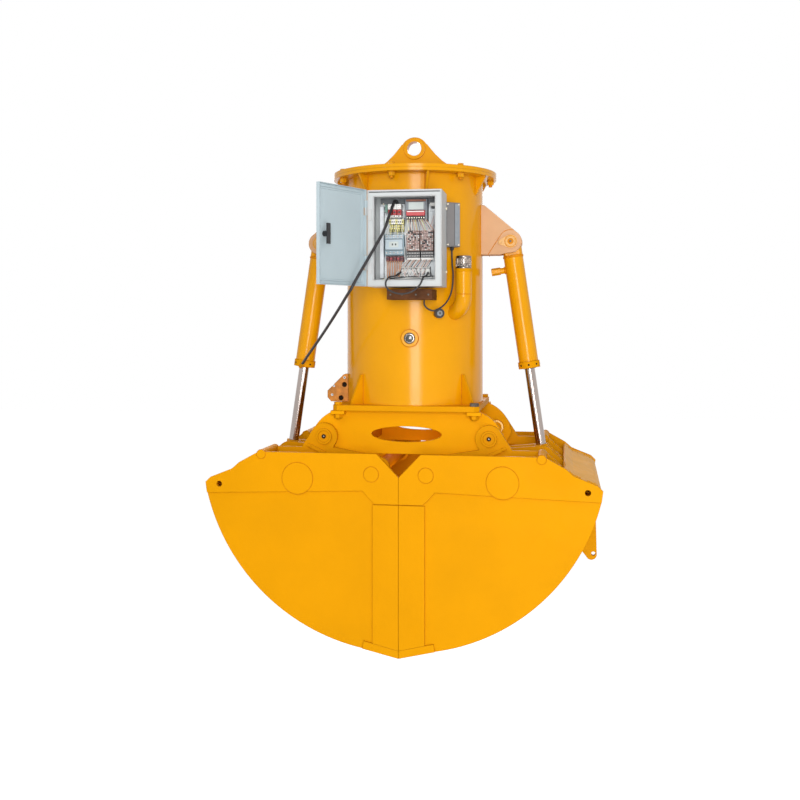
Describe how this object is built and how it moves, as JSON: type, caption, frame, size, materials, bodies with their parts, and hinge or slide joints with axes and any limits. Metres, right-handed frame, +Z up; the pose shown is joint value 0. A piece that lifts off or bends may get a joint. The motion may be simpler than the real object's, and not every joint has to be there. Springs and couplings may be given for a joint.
{
  "type": "clamshell bucket",
  "caption": "Electro-hydraulic clamshell bucket: round oil tank with lifting eye and cabinet, hinge frame, jaws swung by rams, closed and hanging",
  "frame": {"origin": "centre of the lifting eye's bore, from which the bucket hangs", "axes": "+Z up, along the bucket's height; +X to the side that the right jaw opens to; -Y towards the cabinet and the picture's camera"},
  "size_m": [1.644, 1.2759, 2.213],
  "materials": {
    "orange_paint": "semi-gloss",
    "pale_orange_paint": "satin",
    "pin_steel": "satin, with overspray",
    "chrome_plate": "polished",
    "machined_steel": "machined",
    "zinc_bolts": "plated",
    "cast_iron_grey": "painted grey",
    "bare_aluminium": "matt",
    "sight_ring": "polished",
    "black_plastic": "matt",
    "cabinet_paint": "satin",
    "blue_grey_plastic": "matt",
    "brown_plastic": "matt",
    "pale_plastic": "matt",
    "grey_plastic": "matt",
    "brown_paint": "satin",
    "box_paint": "satin",
    "cable_rubber": "matt",
    "bronze": "machined"
  },
  "bodies": {
    "housing": {"lifting_lug": "orange_paint", "top_cover": "orange_paint", "cover_bolts": "zinc_bolts", "tank_shell": "orange_paint", "base_plate": "orange_paint", "base_bolts": "zinc_bolts", "cylinder_brackets": "pale_orange_paint", "bracket_pins": "pin_steel", "motor_housing": "cast_iron_grey", "bell_housing": "bare_aluminium", "gear_pump": "cast_iron_grey", "suction_strainer": "bare_aluminium", "valve_manifold": "orange_paint", "sight_glass": "sight_ring", "filler_pipe": "orange_paint", "level_switch": "black_plastic", "cabinet_box": "cabinet_paint", "cabinet_hinges": "zinc_bolts", "mounting_panel": "cabinet_paint", "contactor": "blue_grey_plastic", "relay_stacks": "brown_plastic", "terminal_strips": "pale_plastic", "meter_relay": "grey_plastic", "cable_tray": "brown_paint", "junction_box": "box_paint", "small_leads": "cable_rubber", "supply_lead": "cable_rubber", "frame_cheeks": "orange_paint", "frame_crossmembers": "orange_paint", "pivot_bushes": "bronze"},
    "motor_rotor": {"motor_shaft": "machined_steel"},
    "breather": {"breather_cap": "chrome_plate"},
    "cabinet_door": {"cabinet_door": "cabinet_paint"},
    "door_latch": {"door_latch": "black_plastic"},
    "barrel_left": {"barrel_left": "orange_paint", "gland_left": "orange_paint"},
    "rod_left": {"piston_left": "machined_steel", "rod_left": "chrome_plate", "rod_eye_left": "pale_orange_paint"},
    "jaw_left": {"jaw_sides_left": "orange_paint", "jaw_skin_left": "orange_paint", "jaw_hinge_plates_left": "orange_paint", "jaw_tubes_left": "orange_paint", "jaw_lip_left": "orange_paint", "jaw_top_sheet_left": "orange_paint", "jaw_rod_lug_left": "orange_paint", "jaw_pins_left": "pin_steel"},
    "barrel_right": {"barrel_right": "orange_paint", "gland_right": "orange_paint"},
    "rod_right": {"piston_right": "machined_steel", "rod_right": "chrome_plate", "rod_eye_right": "pale_orange_paint"},
    "jaw_right": {"jaw_sides_right": "orange_paint", "jaw_skin_right": "orange_paint", "jaw_hinge_plates_right": "orange_paint", "jaw_tubes_right": "orange_paint", "jaw_lip_right": "orange_paint", "jaw_top_sheet_right": "orange_paint", "jaw_rod_lug_right": "orange_paint", "jaw_pins_right": "pin_steel"}
  },
  "joints": [
    {"name": "jaw_right_swing", "type": "hinge", "parent": "housing", "child": "jaw_right", "pos_m": [0.356, 0, -1.279], "axis": [0, -1, 0], "range_deg": [0, 50]},
    {"name": "barrel_right_swing", "type": "hinge", "parent": "housing", "child": "barrel_right", "pos_m": [0.435, 0, -0.427], "axis": [0, -1, 0], "range_deg": [0, 3.46]},
    {"name": "rod_right_slide", "type": "slide", "parent": "barrel_right", "child": "rod_right", "axis": [-0.1446, 0, 0.9895], "range_m": [0, 0.2008]},
    {"name": "jaw_left_swing", "type": "hinge", "parent": "housing", "child": "jaw_left", "pos_m": [-0.356, 0, -1.279], "axis": [0, 1, 0], "range_deg": [0, 50]},
    {"name": "barrel_left_swing", "type": "hinge", "parent": "housing", "child": "barrel_left", "pos_m": [-0.435, 0, -0.427], "axis": [0, 1, 0], "range_deg": [0, 3.46], "deforming": ["supply_lead"]},
    {"name": "rod_left_slide", "type": "slide", "parent": "barrel_left", "child": "rod_left", "axis": [0.1446, 0, 0.9895], "range_m": [0, 0.2008]},
    {"name": "cabinet_door_swing", "type": "hinge", "parent": "housing", "child": "cabinet_door", "pos_m": [-0.129, -0.51, -0.4435], "axis": [0, 0, -1], "range_deg": [-115.5, 9.5], "deforming": ["small_leads"]},
    {"name": "door_latch_turn", "type": "hinge", "parent": "cabinet_door", "child": "door_latch", "pos_m": [-0.2431, -0.7492, -0.4435], "axis": [-0.9026, 0.4305, 0], "range_deg": [0, 90]},
    {"name": "breather_cap_turn", "type": "hinge", "parent": "housing", "child": "breather", "pos_m": [0.2476, -0.275, -0.55], "axis": [0, 0, 1], "range_deg": [0, 90]},
    {"name": "motor_spin", "type": "hinge", "parent": "housing", "child": "motor_rotor", "pos_m": [0, 0, -0.45], "axis": [0, 0, 1], "continuous": true}
  ],
  "couplings": [
    {"joint": "barrel_right_swing", "follows": "jaw_right_swing", "ratio": 0.069},
    {"joint": "rod_right_slide", "follows": "jaw_right_swing", "m_per_rad": 0.2295},
    {"joint": "barrel_left_swing", "follows": "jaw_left_swing", "ratio": 0.069},
    {"joint": "rod_left_slide", "follows": "jaw_left_swing", "m_per_rad": 0.2295}
  ]
}
